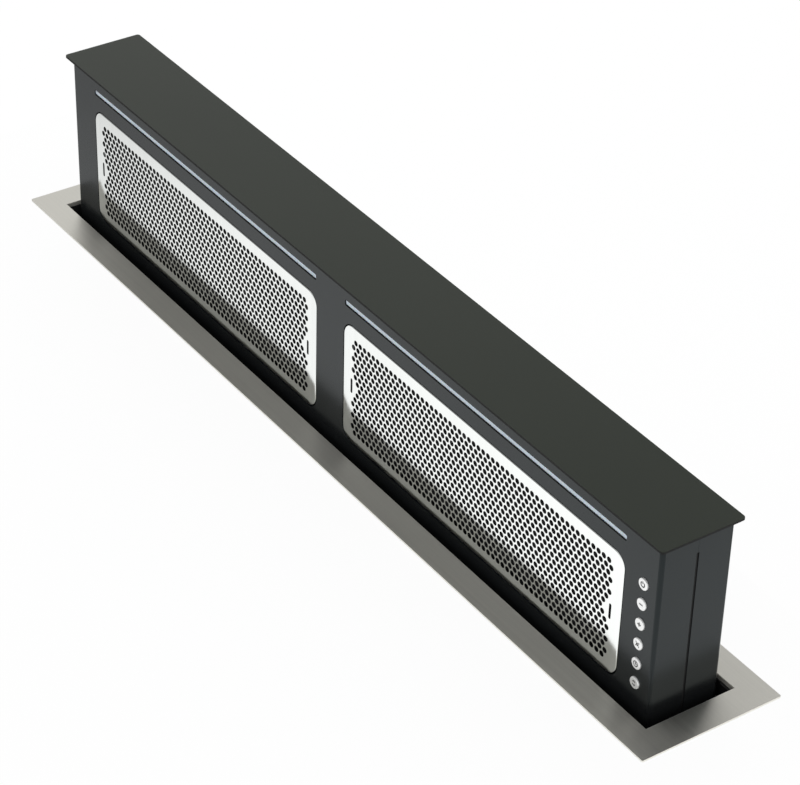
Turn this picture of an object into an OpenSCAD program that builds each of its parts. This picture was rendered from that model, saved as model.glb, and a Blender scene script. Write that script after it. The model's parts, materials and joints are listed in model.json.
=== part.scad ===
/* [Trim] */
// Length of the trim plate, left to right
trim_l = 880; // [820:1:960]
// Depth of the trim plate, front to back
trim_w = 125; // [122:1:150]
// Thickness of the trim plate
trim_t = 1.5; // [1:0.1:2.5]
// Rim left and right of the opening
rim_x = 24.5; // [20:0.5:36]
// Rim in front of and behind the opening
rim_y = 22.5; // [18:0.5:24]
// Depth of the return lip under the opening
lip_h = 15; // [12:1:22]

/* [Head] */
// How far the lid stands above the trim with the head up
rise = 151; // [140:1:200]
// Gap between the lid and each end of the opening
lid_gap_x = 4.25; // [3:0.25:6]
// Gap between the lid and the front and back of the opening
lid_gap_y = 3.5; // [2.5:0.25:4]
// Overhang of the lid past the head, all round
lid_over = 4.75; // [3:0.25:6]
// Thickness of the lid
lid_t = 2; // [1:0.1:3]
// Length of the head that stays below the worktop
head_tail = 60; // [50:1:80]
// Sheet of the head shells
shell_t = 1.2; // [0.8:0.1:1.6]

/* [Filters] */
// Closed panel between the two filters
post_w = 39.6; // [36:0.2:60]
// Closed panel beside the filters, which holds the buttons at the right
button_panel = 37.3; // [34:0.1:60]
// Bottom edge of the filters above the trim
filter_foot = 7.7; // [6:0.1:14]
// Top edge of the filters below the lid
filter_drop = 32.2; // [30:0.1:45]
// Corner radius of the filters
filter_r = 12; // [6:0.5:16]
// Diameter of the holes
hole_d = 4.8; // [3:0.1:5]
// Hole pitch along a row
hole_pitch = 5.963; // [5.6:0.01:7]
// Distance between rows
row_pitch = 5.27; // [5:0.01:6.5]

/* [Lights and buttons] */
// Height of the light slots
slot_h = 5; // [4:0.5:6]
// Top of the light slots below the lid
slot_drop = 13.2; // [11:0.1:17]
// Diameter of a button cap
button_d = 9.5; // [9:0.1:12]
// Distance between buttons
button_pitch = 17.6; // [16:0.1:20]
// How far a cap stands out of the panel
button_proud = 1.2; // [1.1:0.1:3]
// Travel of a button
button_travel = 1; // [0.5:0.1:1]

/* [Casing] */
// Sheet of the casing
case_t = 1.2; // [1:0.1:1.5]
// Height of the casing below the drive shaft
drive_up = 120; // [100:1:160]
// Height of the feet below the casing
foot_drop = 60; // [40:1:100]
// Length of a foot plate
foot_length = 270; // [250:1:320]

/* [Blower] */
// Centre of the blower to the right of the middle
blower_x = 100; // [40:1:160]
// Height of the blower centre above the casing floor
blower_up = 160; // [150:1:200]
// Outer diameter of the outlet spigot
spigot_d = 150; // [120:1:150]
// Length of the outlet spigot
spigot_l = 60; // [50:1:90]
// Diameter of the impeller
fan_d = 170; // [150:1:180]
// Width of the impeller blades
fan_w = 50; // [30:1:60]

/* [Hidden] */
$fn = 48;
// Overrun of every cut
over = 1;
// Running clearance of a shaft, and glide clearance of a sliding face
run_gap = 0.05;
glide_gap = 0.3;

// Plan sizes of the opening, the casing, the lid and the head, as halves
open_x = trim_l / 2 - rim_x;
open_y = trim_w / 2 - rim_y;
case_x = open_x - case_t;
case_y = open_y - case_t;
lid_x = open_x - lid_gap_x;
lid_y = open_y - lid_gap_y;
head_x = lid_x - lid_over;
head_y = lid_y - lid_over;
shell_x = head_x - shell_t;
shell_y = head_y - shell_t;
trim_r = 1;
lip_t = 1.2;
lid_r = 2.5;
bend_r = 3;

// Heights with the head up, where z = 0 is the worktop
lid_top = trim_t + rise;
lid_low = lid_top - lid_t;
head_low = -head_tail;
case_drop = 4;
case_top = trim_t - case_drop;

// Glide pads at the top of the casing
pad_h = 28;
pad_up = 2;
pad_arm = 8;
pad_low = head_low + pad_up;

// Shoes, rails and the lower end of the lift legs
rail_drop = 5;
rail_t = 1.5;
rail_w = 8.3;
shoe_in = 6;
shoe_h = 40;
shoe_y = 15.7;
rail_top = head_low - rise - rail_drop;
leg_low = rail_top - shoe_in - shoe_h;
rail_low = leg_low - rise - shoe_in;
leg_w = 14;
leg_y = 14;
leg_t = 2;
leg_drop = 10;
leg_x = shell_x - leg_w;

// Belt drive
pulley_r = 12;
flange_r = 14;
flange_t = 1.2;
belt_gap = 0.3;
belt_t = 1.5;
belt_w = 9;
belt_in = 6;
leg_clear = 13;
shaft_r = 4;
idler_drop = 18;
clamp_y = 4;
clamp_h = 14;
clamp_up = 6;
strand_y = leg_y - leg_t - clamp_y;
drive_y = strand_y + pulley_r + belt_gap + belt_t / 2;
drive_z = leg_low - rise - leg_clear - flange_r;
idler_z = head_low - rise - idler_drop;
belt_x1 = leg_x - belt_in;
belt_x0 = belt_x1 - belt_w;
pin_r = 3;

// Casing floor, feet and tray
case_low = drive_z - drive_up;
end_flange = 12;
floor_lip = 10;
foot_low = case_low - foot_drop;
foot_t = 3;
foot_w = 60;
foot_web = 35;
foot_rise = 60;
foot_back = 80;
foot_hole_r = 3.3;
foot_hole_in = 15;
tray_t = 0.8;
tray_h = 14;
tray_gap = 3;
tray_end = 30;

// Fasteners
bolt_r = 3;
bolt_head_r = 5.5;
bolt_head_t = 3.5;
bolt_span = 28;
bolt_z = case_low + foot_rise - bolt_head_r - foot_web / 4;
screw_r = 1.9;
screw_head_r = 3.2;
screw_head_t = 1.8;
lip_screw_share = [-0.72, 0, 0.72];
rivet_r = 1.6;
rivet_head_r = 3;
rivet_head_t = 1.2;
rivet_count = 5;
rivet_first = 100;
rivet_low = 90;

// Filter cassettes
filter_x0 = post_w / 2;
filter_x1 = head_x - button_panel;
filter_w = filter_x1 - filter_x0;
filter_cx = (filter_x0 + filter_x1) / 2;
filter_z0 = trim_t + filter_foot;
filter_z1 = lid_low - filter_drop;
filter_h = filter_z1 - filter_z0;
filter_cz = (filter_z0 + filter_z1) / 2;
filter_gap = 0.9;
filter_proud = 0.3;
face_t = 0.6;
pocket_d = 9.5;
ledge_w = 4;
pocket_y = -head_y + pocket_d;
hole_edge_x = 13.5;
hole_edge_z = 12;
hole_cols = floor((filter_w - 2 * hole_edge_x) / hole_pitch) + 1;
hole_rows = floor((filter_h - 2 * hole_edge_z) / row_pitch) + 1;
notch_rows = 2;
grip_in = 11.5;
grip_w = 2.6;
grip_h = 13.5;
mesh_t = 4;
mesh_back = 3;
mesh_end = 8;
back_rib = 8;
back_ribs = 6;

// Lights
slot_in = 0.6;
slot_r = 1.2;
slot_x0 = filter_x0 + slot_in;
slot_x1 = filter_x1 - slot_in;
slot_z = lid_low - slot_drop - slot_h / 2;
lens_gap = 0.3;
lens_in = 0.8;
lens_t = 2.5;
light_wall = 3;
light_d = 8;
light_floor = 2;

// Buttons
button_count = 6;
button_in = 16;
button_drop = 40.4;
button_x = head_x - button_in;
button_r = button_d / 2;
button_gap = 0.3;
flange_over = 1.05;
cap_flange_t = 1.2;
stem_r = 2.4;
stem_l = 1.3;
carrier_x = 8.5;
carrier_z = 9;
board_t = 1.6;
switch_w = 6;
switch_t = 3.5;
plunger_r = 1.7;
button_zs = [for (i = [0 : button_count - 1]) lid_low - button_drop - i * button_pitch];
flange_y = -shell_y + glide_gap;
stem_y = flange_y + cap_flange_t + stem_l;
plunger_y = stem_y + button_travel + glide_gap;
board_y = plunger_y + board_t + switch_t;

// Head seam and lid fixings
seam_w = 2.2;
seam_tight = 0.1;
seam_drop = 16.1;
top_flange = 10;
lid_screw_share = [-0.95, -0.5, 0.5, 0.95];
lid_screw_y = shell_y - top_flange / 2;
lid_screw_deep = 1.1;
seal_in = 1.6;
seal_h = 1.8;
post_flange = 10;
post_end = 20;
tie_h = 20;
flag_in = 41.3;
flag_x = flag_in - leg_x;
flag_w = 8;
flag_reach = 20;

// Limit switches
switch_body_h = 22;
switch_body_w = 16;
switch_body_d = 12;
switch_gap = 3;
lever_t = 0.6;
lever_l = 18;

// Drive housings
bearing_l = 24;
bearing_y = 12;
shaft_end = 14;
gear_x = -88;
gear_w = 32;
gear_front = 17;
gear_up = 15;
gear_down = 65;
motor_gap = 0.75;
motor_r = case_y - drive_y - motor_gap;
motor_l = 120;
motor_cap_l = 10;
motor_z = drive_z - gear_down + motor_r + motor_gap;
cheek_t = 2;
cheek_z = 9;
cheek_y = 9;

// Blower box, scroll and fan
sheet_t = 1.2;
scroll_r = 106;
scroll_step = 16;
scroll_half = scroll_step / 2;
wrap_t = 1;
box_pad = 4;
duct_run = 190;
blower_z = case_low + blower_up;
scroll_top = scroll_half + scroll_r + 2 * scroll_step;
box_x0 = blower_x - scroll_half - scroll_r - scroll_step - box_pad - sheet_t;
box_x1 = blower_x + duct_run;
box_z0 = blower_z - scroll_half - scroll_r - box_pad - sheet_t;
box_z1 = blower_z + scroll_top + box_pad + sheet_t;
box_back = -open_y;
spigot_flange = 9;
flange_edge = 1;
box_front = box_back - spigot_d - 2 * (spigot_flange + flange_edge);
inlet_r = 70;
ring_t = 1.2;
ring_flange = 10;
ring_l = 16;
fan_gap = 3;
fan_t = 2;
fan_r = fan_d / 2;
fan_y = box_back - sheet_t - ring_l - fan_gap;
blade_count = 32;
blade_l = 15;
blade_t = 1.2;
blade_tilt = 20;
hub_r = 12;
hub_l = 14;
disc_y = fan_y - fan_w - fan_t;
motor_y = disc_y - fan_gap - box_pad;
fan_motor_r = 48;
fan_plate_r = 60;
fan_plate_t = 4;
shaft_in = 25;

// Outlet and non-return flaps
spigot_r = spigot_d / 2;
spigot_t = 1;
spigot_flange_t = 1.5;
spigot_y = (box_back + box_front) / 2;
spigot_z = blower_z + (scroll_top - scroll_half) / 2;
flap_in = 22;
flap_x = box_x1 + flap_in;
flap_pin_r = 2;
flap_gap = 1;
flap_t = 1;
knuckle_r = 3.2;
knuckle_h = 20;
knuckle_gap = 0.5;
flap_clear = 0.4;

// Control box
control_in = 34.3;
control_x0 = control_in - case_x;
control_w = 200;
control_h = 160;
control_d = 70;
control_up = 140;
control_t = 1.5;
control_z0 = case_low + control_up;
control_y0 = -open_y - control_d;
stand_r = 3;
stand_l = 12;
stand_in = 20;
gland_r = 11;
gland_bore_r = 5;
gland_l = 18;
gland_flange_r = 14;
gland_flange_t = 3;

module block(x0, x1, y0, y1, z0, z1)
  translate([x0, y0, z0]) cube([x1 - x0, y1 - y0, z1 - z0]);

module rod_x(x0, x1, y, z, r)
  translate([x0, y, z]) rotate([0, 90, 0]) cylinder(h = x1 - x0, r = r);

module rod_y(y0, y1, x, z, r)
  translate([x, y0, z]) rotate([-90, 0, 0]) cylinder(h = y1 - y0, r = r);

module rod_z(z0, z1, x, y, r)
  translate([x, y, z0]) cylinder(h = z1 - z0, r = r);

// A flat outline raised along z, along y (drawn as x and z) or along x (drawn as y and z)
module raise_z(z0, z1)
  translate([0, 0, z0]) linear_extrude(z1 - z0) children();

module raise_y(y0, y1)
  translate([0, y1, 0]) rotate([90, 0, 0]) linear_extrude(y1 - y0) children();

module raise_x(x0, x1)
  translate([x0, 0, 0]) rotate([90, 0, 90]) linear_extrude(x1 - x0) children();

module round_rect(l, w, r) {
  square([l - 2 * r, w], center = true);
  square([l, w - 2 * r], center = true);
  for (sx = [-1, 1], sy = [-1, 1])
    translate([sx * (l / 2 - r), sy * (w / 2 - r)]) circle(r = r);
}

module stadium(l, h) {
  square([l - h, h], center = true);
  for (s = [-1, 1])
    translate([s * (l - h) / 2, 0]) circle(r = h / 2);
}

module stadium_upright(w, h)
  rotate(90) stadium(h, w);

module two_sided() {
  children();
  mirror([1, 0, 0]) children();
}

module lip_screw_places()
  for (s = lip_screw_share, f = [0, 1])
    mirror([0, f, 0]) translate([s * open_x, 0, -lip_h / 2]) children();

module rivet_places()
  for (fx = [0, 1], fy = [0, 1], i = [0 : rivet_count - 1])
    mirror([fx, 0, 0]) mirror([0, fy, 0])
      translate([case_x - end_flange / 2, 0,
        -rivet_first + (case_low + rivet_low + rivet_first) * i / (rivet_count - 1)])
        children();

module bolt_places()
  for (f = [0, 1], sy = [-1, 1], i = [0, 1])
    mirror([f, 0, 0]) translate([0, sy * foot_web / 2, bolt_z - i * bolt_span]) children();

module trim_plate()
  color("silver")
    difference() {
      union() {
        raise_z(0, trim_t) round_rect(trim_l, trim_w, trim_r);
        raise_z(-lip_h, 0) square([2 * (open_x + lip_t), 2 * (open_y + lip_t)], center = true);
      }
      raise_z(-lip_h - over, trim_t + over) square([2 * open_x, 2 * open_y], center = true);
      lip_screw_places() rod_y(open_y - over, open_y + lip_t + over, 0, 0, screw_r + run_gap);
    }

module casing_panel()
  difference() {
    block(-open_x, open_x, case_y, open_y, case_low, case_top);
    lip_screw_places() rod_y(case_y - over, open_y + over, 0, 0, screw_r + run_gap);
    rivet_places() rod_y(case_y - over, open_y + over, 0, 0, rivet_r + run_gap);
  }

module casing_rear()
  color("#1b1b1b") casing_panel();

module casing_front()
  color("#1b1b1b")
    difference() {
      mirror([0, 1, 0]) casing_panel();
      rod_y(-open_y - over, -case_y + over, blower_x, blower_z, inlet_r);
    }

module casing_ends()
  color("#1b1b1b")
    two_sided()
      difference() {
        union() {
          block(case_x, open_x, -case_y, case_y, case_low, case_top);
          for (f = [0, 1])
            mirror([0, f, 0])
              block(case_x - end_flange, case_x, case_y - case_t, case_y, case_low, case_top);
        }
        for (s = [-1, 1], i = [0, 1])
          rod_x(case_x - over, open_x + over, s * foot_web / 2, bolt_z - i * bolt_span, bolt_r + run_gap);
        for (f = [0, 1])
          mirror([0, f, 0])
            rivet_places() rod_y(case_y - case_t - over, case_y + over, 0, 0, rivet_r + run_gap);
      }

module casing_floor()
  color("#1b1b1b")
    difference() {
      block(-case_x, case_x, case_t - case_y, case_y - case_t, case_low, case_low + floor_lip);
      block(case_t - case_x, case_x - case_t, 2 * case_t - case_y, case_y - 2 * case_t,
        case_low + case_t, case_low + floor_lip + over);
    }

module feet()
  color("#8d9094")
    two_sided()
      difference() {
        union() {
          block(open_x, open_x + foot_t, -foot_web, foot_web, foot_low, case_low + foot_rise);
          block(open_x + foot_t - foot_w, open_x + foot_t, foot_back - foot_length, foot_back,
            foot_low, foot_low + foot_t);
          for (f = [0, 1])
            mirror([0, f, 0])
              raise_x(open_x, open_x + foot_t)
                polygon([[foot_web, foot_low + foot_t], [foot_back, foot_low + foot_t],
                  [foot_web, case_low]]);
        }
        for (s = [-1, 1], i = [0, 1])
          rod_x(open_x - over, open_x + foot_t + over, s * foot_web / 2, bolt_z - i * bolt_span,
            bolt_r + run_gap);
        for (x = [foot_hole_in, foot_w - foot_hole_in], y = [foot_hole_in, foot_length - foot_hole_in])
          rod_z(foot_low - over, foot_low + foot_t + over, open_x + foot_t - x, foot_back - y,
            foot_hole_r);
      }

module foot_bolts()
  color("#a9abad")
    bolt_places() {
      rod_x(case_x - bolt_head_t, open_x + foot_t, 0, 0, bolt_r);
      rod_x(open_x + foot_t, open_x + foot_t + bolt_head_t, 0, 0, bolt_head_r);
    }

module lip_screws()
  color("#a9abad")
    lip_screw_places() {
      rod_y(case_y, open_y + lip_t, 0, 0, screw_r);
      rod_y(open_y + lip_t, open_y + lip_t + screw_head_t, 0, 0, screw_head_r);
    }

module case_rivets()
  color("#8f8f8f")
    rivet_places() {
      rod_y(case_y - case_t, open_y, 0, 0, rivet_r);
      rod_y(open_y, open_y + rivet_head_t, 0, 0, rivet_head_r);
    }

module guide_pads()
  color("#101010")
    two_sided()
      difference() {
        block(head_x - pad_arm, case_x, case_t - case_y, case_y - case_t, pad_low, pad_low + pad_h);
        block(head_x - pad_arm - over, head_x + glide_gap, -head_y - glide_gap, head_y + glide_gap,
          pad_low - over, pad_low + pad_h + over);
      }

module guide_rails()
  color("#a2a5a8")
    two_sided()
      difference() {
        block(case_x - rail_w, case_x, -shoe_y - glide_gap - rail_t, shoe_y + glide_gap + rail_t,
          rail_low, rail_top);
        block(case_x - rail_w - over, case_x - rail_t, -shoe_y - glide_gap, shoe_y + glide_gap,
          rail_low - over, rail_top + over);
      }

module grease_tray()
  color("#b9bcbe")
    difference() {
      block(tray_end - case_x, case_x - tray_end, 2 * case_t - case_y + tray_gap,
        case_y - 2 * case_t - tray_gap, case_low + case_t, case_low + case_t + tray_h);
      block(tray_end - case_x + tray_t, case_x - tray_end - tray_t,
        2 * case_t - case_y + tray_gap + tray_t, case_y - 2 * case_t - tray_gap - tray_t,
        case_low + case_t + tray_t, case_low + case_t + tray_h + over);
    }

module lift_gearmotor()
  color("#3b3d40")
    difference() {
      union() {
        block(gear_x - gear_w / 2, gear_x + gear_w / 2, drive_y - gear_front, case_y,
          drive_z - gear_down, drive_z + gear_up);
        rod_x(gear_x - gear_w / 2 - motor_l, gear_x - gear_w / 2, drive_y, motor_z, motor_r);
        rod_x(gear_x - gear_w / 2 - motor_l - motor_cap_l, gear_x - gear_w / 2 - motor_l,
          drive_y, motor_z, motor_r * 2 / 3);
      }
      rod_x(gear_x - gear_w / 2 - over, gear_x + gear_w / 2 + over, drive_y, drive_z,
        shaft_r + run_gap);
    }

module shaft_bearings()
  color("#d8d8d4")
    two_sided()
      difference() {
        block(case_x - bearing_l, case_x, drive_y - bearing_y, drive_y + bearing_y,
          drive_z - bearing_y, drive_z + bearing_y);
        rod_x(case_x - bearing_l - over, case_x - shaft_end + run_gap, drive_y, drive_z,
          shaft_r + run_gap);
      }

module cross_shaft()
  color("#b4b6b8")
    rod_x(shaft_end - case_x, case_x - shaft_end, drive_y, drive_z, shaft_r);

module toothed_pulley(z, bore_r)
  difference() {
    union() {
      rod_x(belt_x0 - glide_gap, belt_x1 + glide_gap, drive_y, z, pulley_r);
      rod_x(belt_x0 - glide_gap - flange_t, belt_x0 - glide_gap, drive_y, z, flange_r);
      rod_x(belt_x1 + glide_gap, belt_x1 + glide_gap + flange_t, drive_y, z, flange_r);
    }
    rod_x(belt_x0 - flange_r, belt_x1 + flange_r, drive_y, z, bore_r);
  }

module drive_pulleys()
  color("#c9cbcc")
    two_sided() toothed_pulley(drive_z, shaft_r);

module idler_right()
  color("#e0e0dc")
    toothed_pulley(idler_z, pin_r + run_gap);

module idler_left()
  color("#e0e0dc")
    mirror([1, 0, 0]) toothed_pulley(idler_z, pin_r + run_gap);

module idler_brackets() {
  x0 = belt_x0 - glide_gap - flange_t - glide_gap;
  x1 = belt_x1 + glide_gap + flange_t + glide_gap;
  color("#9a9da0")
    two_sided() {
      for (x = [x0 - cheek_t, x1])
        block(x, x + cheek_t, drive_y - cheek_y, case_y, idler_z - cheek_z, idler_z + cheek_z);
      block(x0, x1, case_y - cheek_t, case_y, idler_z - cheek_z, idler_z + cheek_z);
      rod_x(x0, x1, drive_y, idler_z, pin_r);
    }
}

module belt_outline(r) {
  for (z = [drive_z, idler_z])
    translate([drive_y, z]) circle(r = r);
  translate([drive_y - r, drive_z]) square([2 * r, idler_z - drive_z]);
}

module belts()
  color("#151515")
    two_sided()
      raise_x(belt_x0, belt_x1)
        difference() {
          belt_outline(pulley_r + belt_gap + belt_t);
          belt_outline(pulley_r + belt_gap);
        }

module limit_switches() {
  x0 = flag_x - switch_body_w / 2;
  x1 = flag_x + switch_body_w / 2;
  color("#26282b")
    for (up = [0, 1]) {
      flag_z = up == 1 ? leg_low + leg_t : leg_low - rise;
      translate([0, 0, flag_z])
        mirror([0, 0, 1 - up]) {
          block(x0, x1, case_y - switch_body_d, case_y, switch_gap, switch_gap + switch_body_h);
          block(flag_x - flag_w / 2, flag_x + flag_w / 2, case_y - switch_body_d - lever_l,
            case_y - switch_body_d + lever_t, switch_gap, switch_gap + lever_t);
        }
    }
}

module scroll_area(off, run) {
  reach = scroll_r + 3 * scroll_step;
  r = scroll_r - off;
  intersection() {
    translate([-scroll_half, -scroll_half]) circle(r = r);
    translate([-scroll_half, -scroll_half - reach]) square([reach, reach]);
  }
  intersection() {
    translate([-scroll_half, scroll_half]) circle(r = r + scroll_step);
    translate([-scroll_half - reach, scroll_half - reach]) square([reach, reach]);
  }
  intersection() {
    translate([scroll_half, scroll_half]) circle(r = r + 2 * scroll_step);
    translate([scroll_half - reach, scroll_half]) square([reach, reach]);
  }
  translate([-scroll_half, -scroll_half]) square([r, scroll_step]);
  translate([scroll_half, off - scroll_half])
    square([run - scroll_half, scroll_top + scroll_half - 2 * off]);
}

module scroll_wrap()
  color("#b2b6b8")
    translate([blower_x, 0, blower_z])
      raise_y(box_front, box_back - sheet_t)
        difference() {
          scroll_area(0, duct_run - sheet_t);
          scroll_area(wrap_t, duct_run);
        }

module blower_box()
  color("#a4a8aa")
    difference() {
      block(box_x0, box_x1, box_front, box_back, box_z0, box_z1);
      block(box_x0 + sheet_t, box_x1 - sheet_t, box_front - over, box_back - sheet_t,
        box_z0 + sheet_t, box_z1 - sheet_t);
      rod_y(box_back - sheet_t - over, box_back + over, blower_x, blower_z, inlet_r);
      rod_x(box_x1 - sheet_t - over, box_x1 + over, spigot_y, spigot_z, spigot_r - spigot_t);
    }

module blower_cover()
  color("#a4a8aa")
    difference() {
      block(box_x0 - sheet_t, box_x1 + sheet_t, box_front - sheet_t, box_front + floor_lip,
        box_z0 - sheet_t, box_z1 + sheet_t);
      block(box_x0, box_x1, box_front, box_front + floor_lip + over, box_z0, box_z1);
      rod_x(box_x1 - over, box_x1 + sheet_t + over, spigot_y, spigot_z,
        spigot_r + spigot_flange + glide_gap);
    }

module inlet_ring()
  color("#8f9395")
    difference() {
      union() {
        rod_y(box_back - sheet_t - ring_t, box_back - sheet_t, blower_x, blower_z,
          inlet_r + ring_flange);
        rod_y(box_back - sheet_t - ring_l, -case_y, blower_x, blower_z, inlet_r);
      }
      rod_y(box_back - sheet_t - ring_l - over, over - case_y, blower_x, blower_z,
        inlet_r - ring_t);
    }

module impeller()
  color("#c4c6c6") {
    difference() {
      rod_y(fan_y - fan_t, fan_y, blower_x, blower_z, fan_r);
      rod_y(fan_y - fan_t - over, fan_y + over, blower_x, blower_z, fan_r - blade_l);
    }
    rod_y(disc_y, disc_y + fan_t, blower_x, blower_z, fan_r);
    rod_y(disc_y + fan_t / 2, disc_y + hub_l, blower_x, blower_z, hub_r);
    rod_y(motor_y - shaft_in, disc_y + fan_t / 2, blower_x, blower_z, shaft_r);
    for (i = [0 : blade_count - 1])
      translate([blower_x, 0, blower_z])
        rotate([0, 360 / blade_count * i, 0])
          translate([fan_r - blade_l + blade_t, 0, 0])
            rotate([0, blade_tilt, 0])
              block(0, blade_l - 2 * blade_t, disc_y + fan_t / 2, fan_y - fan_t / 2,
                -blade_t / 2, blade_t / 2);
  }

module blower_motor()
  color("#2f3133")
    difference() {
      union() {
        rod_y(box_front, box_front + fan_plate_t, blower_x, blower_z, fan_plate_r);
        rod_y(box_front, motor_y, blower_x, blower_z, fan_motor_r);
      }
      rod_y(motor_y - shaft_in - over, motor_y + over, blower_x, blower_z, shaft_r + run_gap);
    }

module outlet_spigot()
  color("#1c1c1c")
    difference() {
      union() {
        rod_x(box_x1, box_x1 + spigot_flange_t, spigot_y, spigot_z, spigot_r + spigot_flange);
        rod_x(box_x1, box_x1 + spigot_l, spigot_y, spigot_z, spigot_r);
      }
      rod_x(box_x1 - over, box_x1 + spigot_l + over, spigot_y, spigot_z, spigot_r - spigot_t);
      rod_z(spigot_z - spigot_r - over, spigot_z + spigot_r + over, flap_x, spigot_y,
        flap_pin_r + run_gap);
    }

module flap_pin()
  color("#b4b6b8")
    rod_z(spigot_z - spigot_r + run_gap, spigot_z + spigot_r - run_gap, flap_x, spigot_y, flap_pin_r);

// One half disc on two or three knuckles, drawn on the side where y is above the pin
module half_flap(levels) {
  wing = knuckle_r + flap_clear;
  translate([flap_x, spigot_y, spigot_z])
    difference() {
      union() {
        raise_x(-flap_t / 2, flap_t / 2)
          intersection() {
            circle(r = spigot_r - spigot_t - flap_gap);
            translate([wing, -spigot_r]) square([spigot_r, spigot_d]);
          }
        for (z = levels) {
          rod_z(z - knuckle_h / 2, z + knuckle_h / 2, 0, 0, knuckle_r);
          block(-flap_t / 2, flap_t / 2, 0, wing, z - knuckle_h / 2, z + knuckle_h / 2);
        }
      }
      rod_z(-spigot_r, spigot_r, 0, 0, flap_pin_r + run_gap);
    }
}

module flap_rear()
  color("#202020")
    half_flap([-knuckle_h - knuckle_gap, knuckle_h + knuckle_gap]);

module flap_front()
  color("#202020")
    translate([0, 2 * spigot_y, 0]) mirror([0, 1, 0]) half_flap([0]);

module control_box()
  color("#a4a8aa") {
    difference() {
      block(control_x0, control_x0 + control_w, control_y0, -open_y, control_z0,
        control_z0 + control_h);
      block(control_x0 + control_t, control_x0 + control_w - control_t, control_y0 - over,
        -open_y - control_t, control_z0 + control_t, control_z0 + control_h - control_t);
      rod_z(control_z0 - over, control_z0 + control_t + over, control_x0 + control_w / 4,
        control_y0 + control_d / 2, gland_bore_r + control_t);
    }
    for (x = [stand_in, control_w - stand_in], z = [stand_in, control_h - stand_in])
      rod_y(-open_y - control_t - stand_l, -open_y - control_t, control_x0 + x, control_z0 + z,
        stand_r);
  }

module control_lid()
  color("#a4a8aa")
    difference() {
      block(control_x0 - control_t, control_x0 + control_w + control_t, control_y0 - control_t,
        control_y0 + floor_lip, control_z0 - control_t, control_z0 + control_h + control_t);
      block(control_x0, control_x0 + control_w, control_y0, control_y0 + floor_lip + over,
        control_z0, control_z0 + control_h);
    }

module control_board() {
  back = -open_y - control_t - stand_l;
  front = back - board_t;
  relay = control_h / 8;
  color("#1f5a36")
    block(control_x0 + stand_in / 2, control_x0 + control_w - stand_in / 2, front, back,
      control_z0 + stand_in / 2, control_z0 + control_h - stand_in / 2);
  color("#27292c")
    for (i = [0 : 2])
      translate([control_x0 + control_w / 4 + i * 2 * relay, front - relay, control_z0 + control_h / 2])
        cube(relay);
  color("#3d6a8a")
    rod_y(front - 2 * relay, front, control_x0 + control_w * 3 / 4, control_z0 + control_h / 3,
      relay / 2);
}

module cable_gland()
  color("#222222") {
    x = control_x0 + control_w / 4;
    y = control_y0 + control_d / 2;
    difference() {
      union() {
        rod_z(control_z0 - gland_l, control_z0, x, y, gland_r);
        rod_z(control_z0 - gland_flange_t, control_z0, x, y, gland_flange_r);
        rod_z(control_z0, control_z0 + control_t + gland_flange_t, x, y, gland_bore_r + control_t);
      }
      rod_z(control_z0 - gland_l - over, control_z0 + gland_l, x, y, gland_bore_r);
    }
  }

// Places and outlines on the front of the head
module on_filter(side)
  translate([side * filter_cx, filter_cz]) children();

module on_slots()
  for (s = [-1, 1])
    translate([s * (slot_x0 + slot_x1) / 2, slot_z]) children();

module filter_outline(grow)
  round_rect(filter_w + 2 * grow, filter_h + 2 * grow, filter_r + grow);

module slot_outline(shrink)
  round_rect(slot_x1 - slot_x0 - 2 * shrink, slot_h - 2 * shrink, slot_r - shrink);

module shell_tube() {
  raise_z(head_low, lid_low)
    difference() {
      round_rect(2 * head_x, 2 * head_y, bend_r);
      round_rect(2 * shell_x, 2 * shell_y, bend_r - shell_t);
    }
  raise_z(lid_low - shell_t, lid_low)
    difference() {
      round_rect(2 * shell_x + shell_t, 2 * shell_y + shell_t, bend_r - shell_t / 2);
      square([2 * (shell_x - top_flange), 2 * (shell_y - top_flange)], center = true);
    }
}

// The rear half of the tube; the seam is open up to a little below the lid
module rear_half()
  difference() {
    intersection() {
      shell_tube();
      union() {
        block(-head_x - over, head_x + over, seam_w / 2, head_y + over, head_low - over,
          lid_low + over);
        block(-head_x - over, head_x + over, seam_tight / 2, head_y + over,
          lid_low - seam_drop, lid_low + over);
      }
    }
    for (s = lid_screw_share)
      rod_z(lid_low - shell_t - over, lid_low + over, s * head_x, lid_screw_y, screw_r + run_gap);
  }

module head_rear_shell()
  color("#2c2e2d") rear_half();

module head_front_shell()
  color("#2c2e2d")
    difference() {
      union() {
        mirror([0, 1, 0]) rear_half();
        for (s = [-1, 1]) {
          raise_y(-shell_y - shell_t / 2, pocket_y)
            on_filter(s)
              difference() {
                filter_outline(filter_gap + shell_t);
                filter_outline(filter_gap);
              }
          raise_y(pocket_y, pocket_y + shell_t)
            on_filter(s)
              difference() {
                filter_outline(filter_gap + shell_t);
                filter_outline(filter_gap - ledge_w);
              }
        }
      }
      for (s = [-1, 1])
        raise_y(-head_y - over, -shell_y + shell_t / 2) on_filter(s) filter_outline(filter_gap);
      raise_y(-head_y - over, -shell_y + over) on_slots() slot_outline(0);
      for (z = button_zs)
        rod_y(-head_y - over, -shell_y + over, button_x, z, button_r + button_gap);
    }

module lid()
  color("#41443f")
    difference() {
      raise_z(lid_low, lid_top) round_rect(2 * lid_x, 2 * lid_y, lid_r);
      for (s = lid_screw_share, f = [-1, 1])
        rod_z(lid_low - over, lid_low + lid_screw_deep + run_gap, s * head_x, f * lid_screw_y,
          screw_r + run_gap);
    }

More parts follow.
